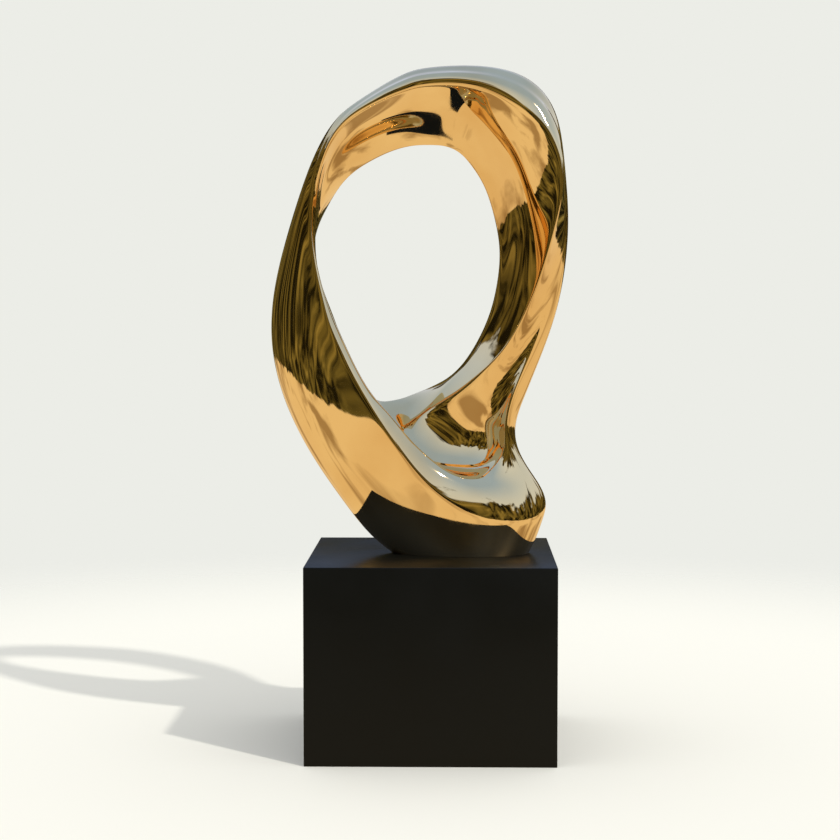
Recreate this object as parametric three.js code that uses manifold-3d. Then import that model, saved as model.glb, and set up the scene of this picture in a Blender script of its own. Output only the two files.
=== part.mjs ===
// Twisted bronze ring on a square plinth.
//
// Millimetres, +Z up. The origin is the centre of the plinth's underside. The open ring is
// seen from -Y, with its toe, the lobe that holds a hollow, low on the +X side.
//
// The ring is one closed skin. Edge lines run once round the loop, clockwise from the top as
// seen from -Y, and each station round the loop joins them into one section:
//   rim     crease between the band and the flank: the toe's brow and the left limb's rib
//   lip     other side of the band, where the hollow starts
//   ridge   crease between the hollow and the inner face
//   fold    soft fold that crosses the inner face, from the back edge over to the ridge
//   back    rounded edge at the back, which bounds the opening for most of its length
//   flank   fullest line of the broad outer face, between the back edge and the rim
import * as THREE from 'three';
import { mergeVertices } from 'three/addons/utils/BufferGeometryUtils.js';
import Module from 'manifold-3d';

// Driving dimensions
const plinthSide = 500;
const plinthHeight = 395;
const plinthChamfer = 1.5;
const footGap = 0.3; // between the bronze foot and the plinth's top
const stations = 30; // stations in one lap of the loop
const cageRings = 48; // sections that carry the skin
const ringSteps = 2; // facets between two sections
const sectionSteps = 2; // facets between two points of a section

// Edge lines: [station, x, y, height above the plinth]
const rim = closedSpline([
  [0, -4, 12, 998], [1, 94, 12, 1002], [2, 190, 12, 982], [3, 250, 14, 915], [4, 268, 16, 811],
  [5, 279, 8, 706], [6, 275, 2, 594], [7, 253, -4, 486], [8, 220, -10, 393], [9, 189, -14, 315],
  [10, 173, -14, 251], [11, 193, -8, 186], [12, 229, -6, 136], [13, 237, -26, 95],
  [14, 201, -68, 70], [15, 134, -92, 69], [16, 65, -100, 94], [17, -2, -104, 143],
  [18, -56, -106, 208], [19, -105, -102, 277], [20, -158, -92, 367], [21, -200, -78, 454],
  [22, -225, -62, 530], [23, -244, -50, 622], [24, -251, -42, 712], [25, -238, -36, 803],
  [26, -205, -30, 882], [27, -162, -18, 924], [28, -101, -4, 962], [29, -53, 6, 987],
]);
const lip = closedSpline([
  [0, -3, -40, 986], [1, 90, -40, 988], [2, 180, -40, 964], [3, 242, -36, 902], [4, 265, -30, 812],
  [5, 273, -18, 713], [6, 265, -18, 602], [7, 236, -26, 497], [8, 198, -38, 406],
  [9, 165, -50, 329], [10, 150, -56, 262], [11, 149, -58, 223], [12, 134, -60, 190],
  [13, 102, -64, 169], [14, 63, -68, 168], [15, 26, -72, 183], [16, -13, -76, 214],
  [17, -51, -80, 253], [18, -86, -84, 296], [19, -122, -84, 336], [20, -157, -78, 395],
  [21, -186, -68, 456], [22, -217, -56, 530], [23, -239, -46, 622], [24, -244, -40, 712],
  [25, -232, -38, 799], [26, -197, -40, 877], [27, -153, -40, 920], [28, -97, -40, 955],
  [29, -50, -40, 976],
]);
const ridge = closedSpline([
  [0, -3, -64, 957], [1, 85, -64, 953], [2, 167, -67, 919], [3, 232, -74, 876], [4, 265, -82, 804],
  [5, 260, -87, 716], [6, 235, -82, 619], [7, 203, -68, 527], [8, 157, -45, 437],
  [9, 106, -20, 381], [10, 59, 4, 341], [11, 25, 20, 317], [12, -2, 28, 298], [13, -21, 30, 283],
  [14, -35, 26, 265], [15, -49, 14, 240], [16, -66, -2, 231], [17, -90, -20, 259],
  [18, -118, -35, 312], [19, -149, -42, 369], [20, -180, -40, 431], [21, -202, -34, 491],
  [22, -227, -28, 556], [23, -239, -25, 624], [24, -238, -28, 699], [25, -226, -36, 797],
  [26, -187, -46, 872], [27, -134, -54, 912], [28, -84, -60, 936], [29, -43, -63, 950],
]);
const back = closedSpline([
  [0, -5, 100, 849], [1, 44, 102, 841], [2, 82, 103, 804], [3, 108, 104, 762], [4, 127, 104, 707],
  [5, 141, 103, 634], [6, 137, 102, 562], [7, 121, 102, 494], [8, 89, 104, 426], [9, 48, 107, 371],
  [10, 10, 110, 347], [11, -18, 112, 335], [12, -43, 112, 326], [13, -65, 110, 318],
  [14, -84, 108, 314], [15, -103, 105, 312], [16, -128, 102, 318], [17, -160, 98, 343],
  [18, -192, 95, 382], [19, -221, 94, 433], [20, -245, 94, 486], [21, -260, 94, 539],
  [22, -266, 95, 592], [23, -260, 96, 645], [24, -234, 97, 700], [25, -194, 98, 766],
  [26, -149, 99, 805], [27, -109, 100, 827], [28, -73, 100, 841], [29, -39, 100, 848],
]);
const flank = closedSpline([
  [0, -5, 112, 955], [1, 80, 114, 953], [2, 163, 116, 925], [3, 225, 118, 876], [4, 255, 118, 791],
  [5, 264, 112, 684], [6, 253, 106, 581], [7, 221, 104, 477], [8, 178, 106, 383],
  [9, 144, 110, 306], [10, 123, 118, 225], [11, 134, 120, 97], [12, 127, 90, -28],
  [13, 101, 40, -80], [14, 55, 10, -84], [15, -10, 0, -70], [16, -72, 0, -34], [17, -134, 0, 15],
  [18, -190, 0, 86], [19, -246, 4, 166], [20, -299, 12, 257], [21, -337, 22, 357],
  [22, -349, 30, 461], [23, -333, 36, 572], [24, -298, 42, 691], [25, -250, 52, 797],
  [26, -194, 66, 869], [27, -140, 86, 909], [28, -90, 100, 940], [29, -50, 108, 952],
]);

// Swell of each face out from the chord between its edges: [station, millimetres]
const bandSwell = closedSpline([
    [0, 8], [4, 5], [8, 2], [11, 10], [13, 26], [15, 14], [17, 5], [20, 3], [26, 2],
  ]);
const hollowSwell = closedSpline([
    [0, 12], [3, 8], [5, 0], [8, -6], [10, -14], [12, -26], [14, -30], [16, -22], [18, -10],
    [20, -3], [24, 0], [27, 6],
  ]);
const innerSwell = closedSpline([
    [0, -4], [2, 14], [3, 28], [4, 28], [5, 18], [6, 10], [8, 2], [12, 0], [16, 2], [24, -4],
  ]);
const stripSwell = closedSpline([[0, 2], [6, 2], [12, 2], [16, 3], [24, 2]]);
const frontSwell = closedSpline([
    [0, 14], [5, 10], [9, 8], [12, 26], [13, 44], [14, 64], [15, 58], [16, 44], [17, 38],
    [18, 42], [20, 58], [22, 28], [24, 14], [27, 12],
  ]);
const rearSwell = closedSpline([
    [0, 14], [5, 14], [9, 14], [12, 20], [15, 30], [18, 30], [21, 25], [24, 14], [27, 10],
  ]);

// Lean of a swell towards the face's first edge, 0 is even: [station, lean]
const hollowLean = closedSpline([[0, 0], [5, 0.4], [8, 1], [13, 1], [16, 0.6], [19, 0]]);
const innerLean = closedSpline([[0, 0], [2, 0.8], [3, 1], [6, 1], [9, 0.3], [12, 0]]);

// Place of the fold between ridge and back edge, and how far it stands out
const foldShare = closedSpline([
    [0, 0.72], [2, 0.86], [4, 0.92], [6, 0.88], [8, 0.73], [10, 0.45], [12, 0.15],
    [14, 0.25], [16, 0.42], [20, 0.5], [26, 0.55],
  ]);
const foldRise = closedSpline([
    [0, 0], [3, 4], [5, 8], [8, 14], [10, 12], [12, 4], [14, 2], [20, 6], [26, 0],
  ]);

// Place of the flank's two side points, as shares of the way to its fullest line
const frontShare = closedSpline([
    [0, 0.4], [12, 0.5], [15, 0.6], [17, 0.66], [18, 0.66], [20, 0.58], [22, 0.48],
    [24, 0.4],
  ]);
const rearShare = closedSpline([[0, 0.5], [12, 0.5], [20, 0.5]]);

// Rounding at each edge: [station, share of the face beside it]. Small is crisp.
const round = {
  rimBand: closedSpline([
    [0, 0.33], [5, 0.3], [9, 0.3], [12, 0.2], [15, 0.1], [18, 0.2], [22, 0.3], [26, 0.3],
  ]),
  rimFlank: closedSpline([
    [0, 0.3], [5, 0.2], [9, 0.15], [12, 0.1], [15, 0.08], [18, 0.06], [22, 0.06], [26, 0.2],
  ]),
  lipBand: closedSpline([
    [0, 0.33], [5, 0.3], [9, 0.3], [12, 0.2], [15, 0.15], [18, 0.2], [22, 0.3], [26, 0.3],
  ]),
  lipHollow: closedSpline([
    [0, 0.33], [5, 0.15], [9, 0.1], [12, 0.1], [15, 0.12], [18, 0.2], [22, 0.25], [26, 0.33],
  ]),
  ridgeHollow: closedSpline([
    [0, 0.1], [5, 0.12], [9, 0.06], [12, 0.05], [15, 0.06], [18, 0.15], [22, 0.25],
    [26, 0.15],
  ]),
  ridgeInner: closedSpline([
    [0, 0.05], [5, 0.05], [9, 0.06], [12, 0.2], [15, 0.1], [18, 0.1], [22, 0.1], [26, 0.06],
  ]),
  fold: closedSpline([[0, 0.3], [5, 0.2], [9, 0.2], [12, 0.3], [15, 0.33], [26, 0.33]]),
  backStrip: closedSpline([[0, 0.15], [4, 0.3], [8, 0.3], [12, 0.12], [16, 0.12], [24, 0.12]]),
  backFlank: closedSpline([[0, 0.1], [4, 0.08], [8, 0.08], [12, 0.05], [16, 0.06], [24, 0.08]]),
};

// A smooth closed curve through rows of [station, value, ...], as a function of station.
function closedSpline(rows) {
  const count = rows.length;
  const next = (i) => (i + 1) % count;
  const last = (i) => (i + count - 1) % count;
  const gap = rows.map((row, i) => (rows[next(i)][0] - row[0] + stations) % stations);
  const size = rows[0].length - 1;
  const bend = rows.map(() => new Array(size).fill(0));
  for (let sweep = 0; sweep < 60; sweep++) {
    for (let i = 0; i < count; i++) {
      for (let k = 0; k < size; k++) {
        const rise = (rows[next(i)][k + 1] - rows[i][k + 1]) / gap[i];
        const fall = (rows[i][k + 1] - rows[last(i)][k + 1]) / gap[last(i)];
        const pull = 6 * (rise - fall) - gap[last(i)] * bend[last(i)][k] - gap[i] * bend[next(i)][k];
        bend[i][k] = pull / (2 * (gap[last(i)] + gap[i]));
      }
    }
  }
  return (station) => {
    const at = ((station % stations) + stations) % stations;
    let i = count - 1;
    for (let j = 0; j < count; j++) if (rows[j][0] <= at) i = j;
    const u = at - rows[i][0];
    const w = gap[i] - u;
    const value = (k) => {
      const a = bend[i][k];
      const b = bend[next(i)][k];
      const start = rows[i][k + 1] / gap[i] - (a * gap[i]) / 6;
      const end = rows[next(i)][k + 1] / gap[i] - (b * gap[i]) / 6;
      return (a * w ** 3 + b * u ** 3) / (6 * gap[i]) + start * w + end * u;
    };
    return size === 1 ? value(0) : new THREE.Vector3(value(0), value(1), value(2));
  };
}

// Unit normal of the face from one edge to another at a station, out of the metal.
function outward(from, to, station) {
  const step = 0.01;
  const ahead = from(station + step).add(to(station + step));
  const behind = from(station - step).add(to(station - step));
  const along = ahead.sub(behind);
  return to(station).sub(from(station)).cross(along).normalize();
}

// Points on a swelling face, at the given shares of the way across.
function acrossFace(from, to, normal, swell, shares, lean = 0) {
  const rise = (share) => swell * 4 * share * (1 - share) * (1 + lean * (1 - 2 * share));
  return shares.map((share) =>
    from
      .clone()
      .lerp(to, share)
      .addScaledVector(normal, rise(share)),
  );
}

// Shares that leave a rounding at each end and split the rest evenly.
function spread(first, last, parts) {
  const step = (1 - first - last) / parts;
  return Array.from({ length: parts + 1 }, (_, i) => first + i * step);
}

// The control points of one section, once round: band, hollow, inner face, strip, flank.
function section(station) {
  const at = (line) => line(station);
  const innerNormal = outward(ridge, back, station);
  const foldPoint = at(ridge)
    .lerp(at(back), at(foldShare))
    .addScaledVector(innerNormal, at(foldRise));
  const bandShares = spread(at(round.rimBand), at(round.lipBand), 2);
  const hollowShares = spread(at(round.lipHollow), at(round.ridgeHollow), 3);
  const innerShares = spread(at(round.ridgeInner), at(round.fold), 2);
  const stripShares = spread(at(round.fold), at(round.backStrip), 2).slice(1);
  const front = at(rim)
    .lerp(at(flank), at(frontShare))
    .addScaledVector(outward(flank, rim, station), at(frontSwell));
  const rear = at(back)
    .lerp(at(flank), at(rearShare))
    .addScaledVector(outward(back, flank, station), at(rearSwell));
  return [
    at(rim),
    ...acrossFace(at(rim), at(lip), outward(rim, lip, station), at(bandSwell), bandShares),
    at(lip),
    ...acrossFace(
      at(lip),
      at(ridge),
      outward(lip, ridge, station),
      at(hollowSwell),
      hollowShares,
      at(hollowLean),
    ),
    at(ridge),
    ...acrossFace(at(ridge), foldPoint, innerNormal, at(innerSwell), innerShares, at(innerLean)),
    foldPoint,
    ...acrossFace(foldPoint, at(back), innerNormal, at(stripSwell), stripShares),
    at(back),
    at(back).lerp(rear, 2 * at(round.backFlank)),
    rear,
    at(flank),
    front,
    at(rim).lerp(front, 2 * at(round.rimFlank)),
  ];
}

// Weights of four neighbouring control points on a uniform cubic B-spline.
function weights(u) {
  return [(1 - u) ** 3, 3 * u ** 3 - 6 * u ** 2 + 4, 3 * (u + u ** 2 - u ** 3) + 1, u ** 3].map(
    (weight) => weight / 6,
  );
}

// The cage of control points. Each line is let out a little, so that the smoothed skin,
// which lies inside its control points, still passes through the edge lines.
function buildCage() {
  const rings = Array.from({ length: cageRings }, (_, i) => section((i * stations) / cageRings));
  return rings.map((ring, i) =>
    ring.map((point, j) => {
      const before = rings[(i + cageRings - 1) % cageRings][j];
      const after = rings[(i + 1) % cageRings][j];
      return point
        .clone()
        .multiplyScalar(8 / 6)
        .addScaledVector(before, -1 / 6)
        .addScaledVector(after, -1 / 6);
    }),
  );
}

// The closed skin over the cage: a bicubic B-spline surface in facets.
function ringGeometry() {
  const cage = buildCage();
  const around = cageRings * ringSteps;
  const across = cage[0].length * sectionSteps;
  const positions = [];
  for (let i = 0; i < around; i++) {
    const ringWeights = weights((i % ringSteps) / ringSteps);
    const ring = Math.floor(i / ringSteps);
    for (let j = 0; j < across; j++) {
      const pointWeights = weights((j % sectionSteps) / sectionSteps);
      const first = Math.floor(j / sectionSteps);
      const point = new THREE.Vector3();
      for (let a = 0; a < 4; a++) {
        for (let b = 0; b < 4; b++) {
          const row = cage[(ring + a + cageRings - 1) % cageRings];
          const control = row[(first + b + row.length - 1) % row.length];
          point.addScaledVector(control, ringWeights[a] * pointWeights[b]);
        }
      }
      positions.push(point.x, point.y, point.z);
    }
  }
  const faces = [];
  for (let i = 0; i < around; i++) {
    for (let j = 0; j < across; j++) {
      const here = i * across;
      const ahead = ((i + 1) % around) * across;
      const side = (j + 1) % across;
      faces.push(here + j, here + side, ahead + side);
      faces.push(here + j, ahead + side, ahead + j);
    }
  }
  const geometry = new THREE.BufferGeometry();
  geometry.setAttribute('position', new THREE.Float32BufferAttribute(positions, 3));
  geometry.setIndex(faces);
  return geometry;
}

const wasm = await Module();
wasm.setup();

// A closed geometry as a solid that can be cut.
function solidOf(geometry) {
  const bare = geometry.clone();
  bare.deleteAttribute('normal');
  bare.deleteAttribute('uv');
  const merged = mergeVertices(bare);
  return new wasm.Manifold(
    new wasm.Mesh({
      numProp: 3,
      vertProperties: merged.getAttribute('position').array,
      triVerts: new Uint32Array(merged.getIndex().array),
    }),
  );
}

function geometryOf(solid) {
  const mesh = solid.getMesh();
  const geometry = new THREE.BufferGeometry();
  geometry.setAttribute('position', new THREE.Float32BufferAttribute(mesh.vertProperties, 3));
  geometry.setIndex(new THREE.Uint32BufferAttribute(mesh.triVerts, 1));
  geometry.computeVertexNormals();
  return geometry;
}

// The bronze: the ring's skin, cut flat where it stands.
function bronzeRing() {
  const reach = 1000;
  const below = new THREE.BoxGeometry(reach, reach, reach);
  below.translate(0, 0, footGap - reach / 2);
  const standing = solidOf(ringGeometry()).subtract(solidOf(below));
  const material = new THREE.MeshStandardMaterial({ color: 0xe0a850, roughness: 0.06, metalness: 1 });
  const mesh = new THREE.Mesh(geometryOf(standing), material);
  mesh.name = 'bronze_ring';
  mesh.position.z = plinthHeight;
  return mesh;
}

// The plinth: a plain square block with fine chamfers.
function plinth() {
  const half = plinthSide / 2 - plinthChamfer;
  const outline = new THREE.Shape();
  outline.moveTo(-half, -half).lineTo(half, -half).lineTo(half, half).lineTo(-half, half);
  outline.closePath();
  const geometry = new THREE.ExtrudeGeometry(outline, {
    depth: plinthHeight - 2 * plinthChamfer,
    bevelEnabled: true,
    bevelSegments: 1,
    bevelSize: plinthChamfer,
    bevelThickness: plinthChamfer,
  });
  geometry.translate(0, 0, plinthChamfer);
  const material = new THREE.MeshStandardMaterial({ color: 0x111110, roughness: 0.4, metalness: 0 });
  const mesh = new THREE.Mesh(geometry, material);
  mesh.name = 'plinth';
  return mesh;
}

const sculpture = new THREE.Group();
sculpture.add(plinth(), bronzeRing());
export default sculpture;
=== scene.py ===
import math

import bpy
import numpy as np
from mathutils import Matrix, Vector


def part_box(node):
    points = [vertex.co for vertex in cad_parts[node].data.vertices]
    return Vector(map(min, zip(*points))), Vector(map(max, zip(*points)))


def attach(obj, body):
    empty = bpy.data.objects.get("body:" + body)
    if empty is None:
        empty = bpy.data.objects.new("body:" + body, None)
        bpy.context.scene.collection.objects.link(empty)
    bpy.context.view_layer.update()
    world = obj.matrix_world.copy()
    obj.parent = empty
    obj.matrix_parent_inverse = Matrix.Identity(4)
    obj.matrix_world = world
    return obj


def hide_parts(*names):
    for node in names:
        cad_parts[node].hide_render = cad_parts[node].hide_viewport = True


# Abstract bronze ring on a square black plinth. Metres, +Z up, seen from -Y.

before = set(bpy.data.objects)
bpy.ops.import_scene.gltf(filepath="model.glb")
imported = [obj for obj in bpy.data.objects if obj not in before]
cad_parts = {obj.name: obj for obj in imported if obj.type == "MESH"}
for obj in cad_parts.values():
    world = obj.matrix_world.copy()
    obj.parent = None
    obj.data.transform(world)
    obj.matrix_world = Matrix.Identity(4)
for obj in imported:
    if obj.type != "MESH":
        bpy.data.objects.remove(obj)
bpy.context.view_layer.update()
bpy.ops.object.select_all(action="DESELECT")
print("frame loaded")

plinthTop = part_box("plinth")[1].z
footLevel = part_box("bronze_ring")[0].z


def newMaterial(name):
    material = bpy.data.materials.new(name)
    material.use_nodes = True
    return material, material.node_tree.nodes, material.node_tree.links


def addNoise(nodes, links, vector, scale, detail, twist=0.0):
    noise = nodes.new("ShaderNodeTexNoise")
    noise.inputs["Scale"].default_value = scale
    noise.inputs["Detail"].default_value = detail
    noise.inputs["Distortion"].default_value = twist
    links.new(vector, noise.inputs["Vector"])
    return noise.outputs["Fac"]


def addRange(nodes, links, value, source, target=(0, 1)):
    change = nodes.new("ShaderNodeMapRange")
    change.inputs["From Min"].default_value = source[0]
    change.inputs["From Max"].default_value = source[1]
    change.inputs["To Min"].default_value = target[0]
    change.inputs["To Max"].default_value = target[1]
    links.new(value, change.inputs["Value"])
    return change.outputs["Result"]


def addRamp(nodes, links, value, stops):
    node = nodes.new("ShaderNodeValToRGB")
    colours = node.color_ramp.elements
    for element, (position, colour) in zip(colours, (stops[0], stops[-1])):
        element.position, element.color = position, (*colour, 1)
    for position, colour in stops[1:-1]:
        colours.new(position).color = (*colour, 1)
    links.new(value, node.inputs["Fac"])
    return node.outputs["Color"]


# the ring's shape and finish

ring = {
    "stations": 30,  # stations in one lap of the loop
    "rings": 48,  # sections that carry the skin
    "detail": 3,  # subdivision levels
    "slopeStep": 0.01,  # stations either side when a line's slope is taken
    "smoothAngle": 50,  # degrees; a sharper edge stays crisp
    # edge lines: station, x, y, height above the plinth, in millimetres
    "lines": {
        # crease between the band and the flank: the toe's brow and the left limb's rib
        "rim": [
            (0, -4, 12, 998), (1, 94, 12, 1002), (2, 190, 12, 982), (3, 250, 14, 915),
            (4, 268, 16, 811), (5, 279, 8, 706), (6, 275, 2, 594), (7, 253, -4, 486),
            (8, 220, -10, 393), (9, 189, -14, 315), (10, 173, -14, 251), (11, 193, -8, 186),
            (12, 229, -6, 136), (13, 237, -26, 95), (14, 201, -68, 70), (15, 134, -92, 69),
            (16, 65, -100, 94), (17, -2, -104, 143), (18, -56, -106, 208), (19, -105, -102, 277),
            (20, -158, -92, 367), (21, -200, -78, 454), (22, -225, -62, 530), (23, -244, -50, 622),
            (24, -251, -42, 712), (25, -238, -36, 803), (26, -205, -30, 882), (27, -162, -18, 924),
            (28, -101, -4, 962), (29, -53, 6, 987),
        ],
        # other side of the band, where the hollow starts
        "lip": [
            (0, -3, -40, 986), (1, 90, -40, 988), (2, 180, -40, 964), (3, 242, -36, 902),
            (4, 265, -30, 812), (5, 273, -18, 713), (6, 265, -18, 602), (7, 236, -26, 497),
            (8, 198, -38, 406), (9, 165, -50, 329), (10, 150, -56, 262), (11, 149, -58, 223),
            (12, 134, -60, 190), (13, 102, -64, 169), (14, 63, -68, 168), (15, 26, -72, 183),
            (16, -13, -76, 214), (17, -51, -80, 253), (18, -86, -84, 296), (19, -122, -84, 336),
            (20, -157, -78, 395), (21, -186, -68, 456), (22, -217, -56, 530), (23, -239, -46, 622),
            (24, -244, -40, 712), (25, -232, -38, 799), (26, -197, -40, 877), (27, -153, -40, 920),
            (28, -97, -40, 955), (29, -50, -40, 976),
        ],
        # crease between the hollow and the inner face
        "ridge": [
            (0, -3, -64, 957), (1, 85, -64, 953), (2, 167, -67, 919), (3, 232, -74, 876),
            (4, 265, -82, 804), (5, 260, -87, 716), (6, 235, -82, 619), (7, 203, -68, 527),
            (8, 157, -45, 437), (9, 106, -20, 381), (10, 59, 4, 341), (11, 25, 20, 317),
            (12, -2, 28, 298), (13, -21, 30, 283), (14, -35, 26, 265), (15, -49, 14, 240),
            (16, -66, -2, 231), (17, -90, -20, 259), (18, -118, -35, 312), (19, -149, -42, 369),
            (20, -180, -40, 431), (21, -202, -34, 491), (22, -227, -28, 556), (23, -239, -25, 624),
            (24, -238, -28, 699), (25, -226, -36, 797), (26, -187, -46, 872), (27, -134, -54, 912),
            (28, -84, -60, 936), (29, -43, -63, 950),
        ],
        # rounded edge at the back, round most of the opening
        "back": [
            (0, -5, 100, 849), (1, 44, 102, 841), (2, 82, 103, 804), (3, 108, 104, 762),
            (4, 127, 104, 707), (5, 141, 103, 634), (6, 137, 102, 562), (7, 121, 102, 494),
            (8, 89, 104, 426), (9, 48, 107, 371), (10, 10, 110, 347), (11, -18, 112, 335),
            (12, -43, 112, 326), (13, -65, 110, 318), (14, -84, 108, 314), (15, -103, 105, 312),
            (16, -128, 102, 318), (17, -160, 98, 343), (18, -192, 95, 382), (19, -221, 94, 433),
            (20, -245, 94, 486), (21, -260, 94, 539), (22, -266, 95, 592), (23, -260, 96, 645),
            (24, -234, 97, 700), (25, -194, 98, 766), (26, -149, 99, 805), (27, -109, 100, 827),
            (28, -73, 100, 841), (29, -39, 100, 848),
        ],
        # fullest line of the broad outer face
        "flank": [
            (0, -5, 112, 955), (1, 80, 114, 953), (2, 163, 116, 925), (3, 225, 118, 876),
            (4, 255, 118, 791), (5, 264, 112, 684), (6, 253, 106, 581), (7, 221, 104, 477),
            (8, 178, 106, 383), (9, 144, 110, 306), (10, 123, 118, 225), (11, 134, 120, 97),
            (12, 127, 90, -28), (13, 101, 40, -80), (14, 55, 10, -84), (15, -10, 0, -70),
            (16, -72, 0, -34), (17, -134, 0, 15), (18, -190, 0, 86), (19, -246, 4, 166),
            (20, -299, 12, 257), (21, -337, 22, 357), (22, -349, 30, 461), (23, -333, 36, 572),
            (24, -298, 42, 691), (25, -250, 52, 797), (26, -194, 66, 869), (27, -140, 86, 909),
            (28, -90, 100, 940), (29, -50, 108, 952),
        ],
    },
    # how far each face swells out from its chord: station, millimetres
    "swell": {
        "band": [
            (0, 8), (4, 5), (8, 2), (11, 10), (13, 26), (15, 14), (17, 5), (20, 3), (26, 2),
        ],
        "hollow": [
            (0, 12), (3, 8), (5, 0), (8, -6), (10, -14), (12, -26), (14, -30), (16, -22),
            (18, -10), (20, -3), (24, 0), (27, 6),
        ],
        "inner": [
            (0, -4), (2, 14), (3, 28), (4, 28), (5, 18), (6, 10), (8, 2), (12, 0), (16, 2),
            (24, -4),
        ],
        "strip": [(0, 2), (6, 2), (12, 2), (16, 3), (24, 2)],
        "front": [
            (0, 14), (5, 10), (9, 8), (12, 26), (13, 44), (14, 64), (15, 58), (16, 44),
            (17, 38), (18, 42), (20, 58), (22, 28), (24, 14), (27, 12),
        ],
        "rear": [
            (0, 14), (5, 14), (9, 14), (12, 20), (15, 30), (18, 30), (21, 25), (24, 14),
            (27, 10),
        ],
    },
    # lean of a swell towards the face's first edge; 0 is even
    "lean": {
        "hollow": [(0, 0), (5, 0.4), (8, 1), (13, 1), (16, 0.6), (19, 0)],
        "inner": [(0, 0), (2, 0.8), (3, 1), (6, 1), (9, 0.3), (12, 0)],
    },
    # soft fold across the inner face: place between ridge and back, and how far it stands out
    "foldShare": [
        (0, 0.72), (2, 0.86), (4, 0.92), (6, 0.88), (8, 0.73), (10, 0.45), (12, 0.15),
        (14, 0.25), (16, 0.42), (20, 0.5), (26, 0.55),
    ],
    "foldRise": [
        (0, 0), (3, 4), (5, 8), (8, 14), (10, 12), (12, 4), (14, 2), (20, 6), (26, 0),
    ],
    # places of the flank's two side points, as shares of the way to its fullest line
    "frontShare": [
        (0, 0.4), (12, 0.5), (15, 0.6), (17, 0.66), (18, 0.66), (20, 0.58), (22, 0.48),
        (24, 0.4),
    ],
    "rearShare": [(0, 0.5), (12, 0.5), (20, 0.5)],
    # rounding at each edge, as a share of the face beside it; small is crisp
    "round": {
        "rimBand": [
            (0, 0.33), (5, 0.3), (9, 0.3), (12, 0.2), (15, 0.1), (18, 0.2), (22, 0.3),
            (26, 0.3),
        ],
        "rimFlank": [
            (0, 0.3), (5, 0.2), (9, 0.15), (12, 0.1), (15, 0.08), (18, 0.06), (22, 0.06),
            (26, 0.2),
        ],
        "lipBand": [
            (0, 0.33), (5, 0.3), (9, 0.3), (12, 0.2), (15, 0.15), (18, 0.2), (22, 0.3),
            (26, 0.3),
        ],
        "lipHollow": [
            (0, 0.33), (5, 0.15), (9, 0.1), (12, 0.1), (15, 0.12), (18, 0.2), (22, 0.25),
            (26, 0.33),
        ],
        "ridgeHollow": [
            (0, 0.1), (5, 0.12), (9, 0.06), (12, 0.05), (15, 0.06), (18, 0.15), (22, 0.25),
            (26, 0.15),
        ],
        "ridgeInner": [
            (0, 0.05), (5, 0.05), (9, 0.06), (12, 0.2), (15, 0.1), (18, 0.1), (22, 0.1),
            (26, 0.06),
        ],
        "fold": [(0, 0.3), (5, 0.2), (9, 0.2), (12, 0.3), (15, 0.33), (26, 0.33)],
        "backStrip": [(0, 0.15), (4, 0.3), (8, 0.3), (12, 0.12), (16, 0.12), (24, 0.12)],
        "backFlank": [(0, 0.1), (4, 0.08), (8, 0.08), (12, 0.05), (16, 0.06), (24, 0.08)],
    },
}


def smoothAround(rows):
    # reads any station of a closed cubic curve through the rows
    rows = np.array(rows, float)
    at, values = rows[:, 0], rows[:, 1:]
    lap = ring["stations"]
    gaps = np.append(at[1:], at[0] + lap) - at
    n = len(at)
    system = np.zeros((n, n))
    right = np.zeros(values.shape)
    for i in range(n):
        before, after = (i - 1) % n, (i + 1) % n
        system[i, before] += gaps[before]
        system[i, i] += 2 * (gaps[before] + gaps[i])
        system[i, after] += gaps[i]
        rise = (values[after] - values[i]) / gaps[i]
        fall = (values[i] - values[before]) / gaps[before]
        right[i] = 6 * (rise - fall)
    bend = np.linalg.solve(system, right)

    def read(stations):
        where = np.mod(np.asarray(stations, float) - at[0], lap) + at[0]
        i = np.searchsorted(at, where, side="right") - 1
        after = (i + 1) % n
        gap = gaps[i][:, None]
        u = (where - at[i])[:, None]
        w = gap - u
        curve = (bend[i] * w**3 + bend[after] * u**3) / (6 * gap)
        start = values[i] / gap - bend[i] * gap / 6
        end = values[after] / gap - bend[after] * gap / 6
        return curve + start * w + end * u

    return read


def unitRows(rows):
    return rows / np.linalg.norm(rows, axis=1, keepdims=True)


def acrossFace(a, b, normal, rise, shares, tilt=0):
    # points from edge a to edge b, swelling most in the middle when tilt is 0
    return [
        a + (b - a) * s + normal * rise * 4 * s * (1 - s) * (1 + tilt * (1 - 2 * s))
        for s in shares
    ]


def spread(first, last, parts):
    # even steps that leave the given share of the face free at either end
    return [first + (1 - first - last) * i / parts for i in range(parts + 1)]


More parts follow.
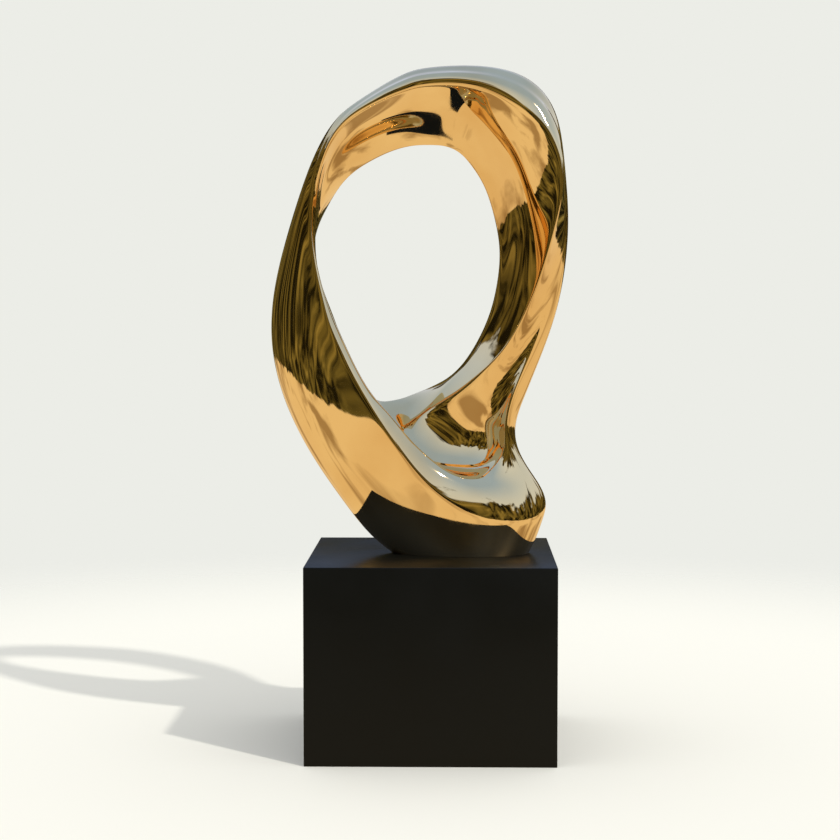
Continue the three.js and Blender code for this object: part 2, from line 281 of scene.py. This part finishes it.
def ringCage():
    # the control points: one ring of 22 for each section, in metres
    t = np.arange(ring["rings"]) * ring["stations"] / ring["rings"]

    def atSections(group):
        return {name: smoothAround(rows)(t) for name, rows in group.items()}

    lines = {name: smoothAround(rows) for name, rows in ring["lines"].items()}
    at = {name: read(t) for name, read in lines.items()}
    swell = atSections(ring["swell"])
    lean = atSections(ring["lean"])
    rounding = atSections(ring["round"])
    foldNames = ("foldShare", "foldRise", "frontShare", "rearShare")
    share = atSections({name: ring[name] for name in foldNames})

    def outward(a, b):
        # the way out of the face between lines a and b
        step = ring["slopeStep"]
        ahead = lines[a](t + step) + lines[b](t + step)
        behind = lines[a](t - step) + lines[b](t - step)
        return unitRows(np.cross(at[b] - at[a], ahead - behind))

    rim, lip, ridge, back, flank = (at[n] for n in ("rim", "lip", "ridge", "back", "flank"))
    inner = outward("ridge", "back")
    fold = ridge + (back - ridge) * share["foldShare"] + inner * share["foldRise"]
    front = rim + (flank - rim) * share["frontShare"]
    front = front + outward("flank", "rim") * swell["front"]
    rear = back + (flank - back) * share["rearShare"]
    rear = rear + outward("back", "flank") * swell["rear"]

    steps = spread(rounding["rimBand"], rounding["lipBand"], 2)
    section = [rim] + acrossFace(rim, lip, outward("rim", "lip"), swell["band"], steps) + [lip]
    steps = spread(rounding["lipHollow"], rounding["ridgeHollow"], 3)
    hollow = outward("lip", "ridge")
    section += acrossFace(lip, ridge, hollow, swell["hollow"], steps, lean["hollow"])
    section += [ridge]
    steps = spread(rounding["ridgeInner"], rounding["fold"], 2)
    section += acrossFace(ridge, fold, inner, swell["inner"], steps, lean["inner"])
    section += [fold]
    steps = spread(rounding["fold"], rounding["backStrip"], 2)[1:]
    section += acrossFace(fold, back, inner, swell["strip"], steps)
    section += [back, back + (rear - back) * 2 * rounding["backFlank"]]
    section += [rear, flank, front, rim + (front - rim) * 2 * rounding["rimFlank"]]
    cage = np.stack(section, 1)
    around = np.roll(cage, 1, 0) - 2 * cage + np.roll(cage, -1, 0)
    cage = cage - around / 6  # lets the cage out, so that the smoothed skin meets the lines
    return cage / 1000


def makeRing():
    cage = ringCage()
    cage[:, :, 2] += plinthTop
    bpy.ops.mesh.primitive_torus_add(
        major_segments=cage.shape[0], minor_segments=cage.shape[1], major_radius=1, minor_radius=0.2
    )
    piece = bpy.context.object
    piece.name = piece.data.name = "polishedRing"
    piece.data.vertices.foreach_set("co", cage.reshape(-1))
    piece.data.update()
    smoother = piece.modifiers.new("skin", "SUBSURF")
    smoother.levels = smoother.render_levels = ring["detail"]
    bpy.ops.object.modifier_apply(modifier=smoother.name)
    bpy.ops.object.mode_set(mode="EDIT")
    bpy.ops.mesh.select_all(action="SELECT")
    bpy.ops.mesh.bisect(
        plane_co=(0, 0, footLevel), plane_no=(0, 0, 1), use_fill=True, clear_inner=True
    )
    bpy.ops.mesh.select_all(action="SELECT")
    bpy.ops.mesh.normals_make_consistent(inside=False)
    bpy.ops.object.mode_set(mode="OBJECT")
    bpy.ops.object.shade_smooth_by_angle(angle=math.radians(ring["smoothAngle"]))
    return piece


bronze = {
    "colour": (0.90, 0.66, 0.33),
    "dark": (0.80, 0.54, 0.24),
    "driftScale": 4.5,  # slow drift of tint over the polish
    "driftDetail": 4,
    "driftFrom": (0.35, 0.6),
    "smearScale": 22,  # smears and faint polishing marks
    "smearDetail": 6,
    "smearTwist": 1.2,
    "smearFrom": (0.35, 0.75),
    "roughness": (0.02, 0.06),
}


def bronzeMaterial():
    material, nodes, links = newMaterial("polishedBronze")
    surface = nodes["Principled BSDF"]
    surface.inputs["Metallic"].default_value = 1
    place = nodes.new("ShaderNodeTexCoord").outputs["Object"]
    drift = addNoise(nodes, links, place, bronze["driftScale"], bronze["driftDetail"])
    tints = list(zip(bronze["driftFrom"], (bronze["dark"], bronze["colour"])))
    links.new(addRamp(nodes, links, drift, tints), surface.inputs["Base Color"])
    smear = addNoise(
        nodes, links, place, bronze["smearScale"], bronze["smearDetail"], bronze["smearTwist"]
    )
    gloss = addRange(nodes, links, smear, bronze["smearFrom"], bronze["roughness"])
    links.new(gloss, surface.inputs["Roughness"])
    return material


polishedRing = makeRing()
polishedRing.data.materials.clear()
polishedRing.data.materials.append(bronzeMaterial())
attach(polishedRing, "root")
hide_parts("bronze_ring")
print("ring made")

# the plinth

block = {
    "edge": 0.0015,  # width of the eased edges
    "steps": 3,
    "smoothAngle": 40,
    "colours": ((0.0032, 0.0034, 0.0026), (0.00512, 0.00544, 0.00416)),
    "roughness": (0.30, 0.42),
    "specular": 0.14,
    "cloudScale": 6,
    "cloudDetail": 6,
    "cloudFrom": (0.3, 0.7),
    "peelScale": 900,  # the paint's fine orange peel
    "peelDetail": 2,
    "peelStrength": 0.06,
    "peelDepth": 0.0004,
}


def makePlinth():
    low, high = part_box("plinth")
    bpy.ops.mesh.primitive_cube_add(size=1, location=(low + high) / 2)
    piece = bpy.context.object
    piece.name = piece.data.name = "blackPlinth"
    piece.scale = high - low
    bpy.ops.object.transform_apply(location=True, rotation=False, scale=True)
    bpy.ops.object.mode_set(mode="EDIT")
    bpy.ops.mesh.select_all(action="SELECT")
    bpy.ops.mesh.bevel(offset=block["edge"], segments=block["steps"])
    bpy.ops.object.mode_set(mode="OBJECT")
    bpy.ops.object.shade_smooth_by_angle(angle=math.radians(block["smoothAngle"]))
    return piece


def plinthMaterial():
    material, nodes, links = newMaterial("satinBlackPaint")
    surface = nodes["Principled BSDF"]
    surface.inputs["Specular IOR Level"].default_value = block["specular"]
    place = nodes.new("ShaderNodeTexCoord").outputs["Object"]
    cloud = addNoise(nodes, links, place, block["cloudScale"], block["cloudDetail"])
    gloss = addRange(nodes, links, cloud, block["cloudFrom"], block["roughness"])
    links.new(gloss, surface.inputs["Roughness"])
    tints = list(zip((0, 1), block["colours"]))
    links.new(addRamp(nodes, links, cloud, tints), surface.inputs["Base Color"])
    peel = addNoise(nodes, links, place, block["peelScale"], block["peelDetail"])
    bump = nodes.new("ShaderNodeBump")
    bump.inputs["Strength"].default_value = block["peelStrength"]
    bump.inputs["Distance"].default_value = block["peelDepth"]
    links.new(peel, bump.inputs["Height"])
    links.new(bump.outputs["Normal"], surface.inputs["Normal"])
    return material


blackPlinth = makePlinth()
blackPlinth.data.materials.append(plinthMaterial())
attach(blackPlinth, "root")
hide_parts("plinth")
print("plinth made")

# floor, light and camera

setting = {
    "background": (0.839, 0.847, 0.799),
    "floorRadius": 4.0,
    "floorSides": 128,
    "floorColour": (0.90, 0.905, 0.855),
    "fadeFrom": 1.4,
    "fadeTo": 3.2,
    "softLight": 0.80,
    "sunTowards": (-0.546, 0.498, -0.673),
    "sunColour": (1, 0.95, 0.86),
    "sunStrength": 1.5,
    "sunAngle": 0.035,
}

# what the metal mirrors: paving below, then trees, then sky; heights are sines of angles
outdoors = {
    "skyLow": (0.72, 0.86, 1.15),
    "skyHigh": (0.36, 0.56, 1.05),
    "skyFrom": (0.2, 0.8),
    "leafColours": ((0.012, 0.010, 0.004), (0.16, 0.13, 0.035), (0.34, 0.27, 0.08)),
    "leafFrom": (0.42, 0.58, 0.72),
    "leafScale": 14,
    "leafDetail": 8,
    "leafStretch": (1, 1, 0.45),
    "leafTwist": 0.6,
    "treeTop": 0.34,
    "treeSlope": -0.10,  # the tree line drops towards +X
    "treeEdge": 0.02,
    "crownScale": 6,
    "crownDetail": 7,
    "crownHeight": 0.55,
    "treeFoot": -0.08,
    "footEdge": 0.008,
    "footScale": 11,
    "footDetail": 4,
    "footHeight": 0.10,
    "pavingDark": (0.42, 0.29, 0.15),
    "paving": (0.88, 0.70, 0.44),
    "pavingFrom": (0.36, 0.50),
    "pavingScale": 2.6,
    "pavingDetail": 6,
    "pavingTwist": 0.5,
}


def makeFloor():
    bpy.ops.mesh.primitive_circle_add(
        vertices=setting["floorSides"], radius=setting["floorRadius"], fill_type="NGON"
    )
    floor = bpy.context.object
    floor.name = "paleFloor"
    material, nodes, links = newMaterial("paleFloor")
    nodes.remove(nodes["Principled BSDF"])
    place = nodes.new("ShaderNodeTexCoord")
    reach = nodes.new("ShaderNodeVectorMath")
    reach.operation = "LENGTH"
    links.new(place.outputs["Object"], reach.inputs[0])
    fade = nodes.new("ShaderNodeMapRange")
    fade.interpolation_type = "SMOOTHSTEP"
    fade.inputs["From Min"].default_value = setting["fadeFrom"]
    fade.inputs["From Max"].default_value = setting["fadeTo"]
    links.new(reach.outputs["Value"], fade.inputs["Value"])
    pale = nodes.new("ShaderNodeBsdfDiffuse")
    pale.inputs["Color"].default_value = (*setting["floorColour"], 1)
    clear = nodes.new("ShaderNodeBsdfTransparent")
    edge = nodes.new("ShaderNodeMixShader")
    links.new(fade.outputs["Result"], edge.inputs[0])
    links.new(pale.outputs[0], edge.inputs[1])
    links.new(clear.outputs[0], edge.inputs[2])
    links.new(edge.outputs[0], nodes["Material Output"].inputs["Surface"])
    floor.data.materials.append(material)
    floor.visible_glossy = False  # the metal sees the warm ground of the world instead


def makeWorld():
    world = bpy.data.worlds.new("softLight")
    bpy.context.scene.world = world
    world.use_nodes = True
    nodes, links = world.node_tree.nodes, world.node_tree.links
    nodes.clear()
    direction = nodes.new("ShaderNodeTexCoord").outputs["Generated"]
    split = nodes.new("ShaderNodeSeparateXYZ")
    links.new(direction, split.inputs[0])

    def flatLight(colour, strength=1):
        light = nodes.new("ShaderNodeBackground")
        light.inputs["Color"].default_value = (*colour, 1)
        light.inputs["Strength"].default_value = strength
        return light.outputs[0]

    def calculate(operation, *terms):
        node = nodes.new("ShaderNodeMath")
        node.operation = operation
        for socket, term in zip(node.inputs, terms):
            if isinstance(term, (int, float)):
                socket.default_value = term
            else:
                links.new(term, socket)
        return node.outputs[0]

    def uneven(name, height):
        # an outline that wanders up and down by half the height
        noise = addNoise(
            nodes, links, direction, outdoors[name + "Scale"], outdoors[name + "Detail"]
        )
        return calculate("MULTIPLY_ADD", noise, height, -height / 2)

    def blend(share, a, b):
        node = nodes.new("ShaderNodeMix")
        node.data_type = "RGBA"
        links.new(share, node.inputs["Factor"])
        links.new(a, node.inputs["A"])
        links.new(b, node.inputs["B"])
        return node.outputs["Result"]

    up = split.outputs["Z"]
    skies = list(zip(outdoors["skyFrom"], (outdoors["skyLow"], outdoors["skyHigh"])))
    sky = addRamp(nodes, links, up, skies)

    stretch = nodes.new("ShaderNodeMapping")
    stretch.inputs["Scale"].default_value = outdoors["leafStretch"]
    links.new(direction, stretch.inputs["Vector"])
    foliage = addNoise(
        nodes, links, stretch.outputs["Vector"],
        outdoors["leafScale"], outdoors["leafDetail"], outdoors["leafTwist"],
    )
    leafStops = list(zip(outdoors["leafFrom"], outdoors["leafColours"]))
    leaves = addRamp(nodes, links, foliage, leafStops)

    patches = addNoise(
        nodes, links, direction,
        outdoors["pavingScale"], outdoors["pavingDetail"], outdoors["pavingTwist"],
    )
    pavingStops = list(zip(outdoors["pavingFrom"], (outdoors["pavingDark"], outdoors["paving"])))
    paving = addRamp(nodes, links, patches, pavingStops)

    crownLevel = calculate("ADD", up, uneven("crown", outdoors["crownHeight"]))
    treeLine = calculate(
        "MULTIPLY_ADD", split.outputs["X"], outdoors["treeSlope"], outdoors["treeTop"]
    )
    overTrees = calculate("SUBTRACT", crownLevel, treeLine)
    edge = outdoors["treeEdge"]
    aboveTrees = addRange(nodes, links, overTrees, (-edge, edge))
    footing = calculate("ADD", up, uneven("foot", outdoors["footHeight"]))
    foot = outdoors["treeFoot"]
    aboveGround = addRange(nodes, links, footing, (foot - outdoors["footEdge"], foot))
    mirrored = nodes.new("ShaderNodeBackground")
    outdoorColour = blend(aboveGround, paving, blend(aboveTrees, leaves, sky))
    links.new(outdoorColour, mirrored.inputs["Color"])

    ray = nodes.new("ShaderNodeLightPath")

    def seenBy(rayKind, other, seen):
        node = nodes.new("ShaderNodeMixShader")
        links.new(ray.outputs[rayKind], node.inputs[0])
        links.new(other, node.inputs[1])
        links.new(seen, node.inputs[2])
        return node.outputs[0]

    softLight = flatLight((1, 1, 1), setting["softLight"])
    lit = seenBy("Is Glossy Ray", softLight, mirrored.outputs[0])
    whole = seenBy("Is Camera Ray", lit, flatLight(setting["background"]))
    output = nodes.new("ShaderNodeOutputWorld")
    links.new(whole, output.inputs["Surface"])


def makeSun():
    light = bpy.data.lights.new("sun", "SUN")
    light.energy = setting["sunStrength"]
    light.angle = setting["sunAngle"]
    light.color = setting["sunColour"]
    lamp = bpy.data.objects.new("sun", light)
    bpy.context.scene.collection.objects.link(lamp)
    lamp.rotation_euler = Vector(setting["sunTowards"]).to_track_quat("-Z", "Y").to_euler()


view = {
    "place": (0.0539, -4.020, 0.9077),
    "aim": (-0.0197, 1, -0.0590),
    "lens": 83.06,
    "sensor": 36,
}


def makeCamera():
    lens = bpy.data.cameras.new("view")
    lens.lens = view["lens"]
    lens.sensor_width = view["sensor"]
    camera = bpy.data.objects.new("view", lens)
    bpy.context.scene.collection.objects.link(camera)
    camera.location = view["place"]
    camera.rotation_euler = Vector(view["aim"]).to_track_quat("-Z", "Y").to_euler()
    bpy.context.scene.camera = camera


makeFloor()
makeWorld()
makeSun()
makeCamera()
bpy.context.scene.view_settings.view_transform = "Standard"
print("setting made")
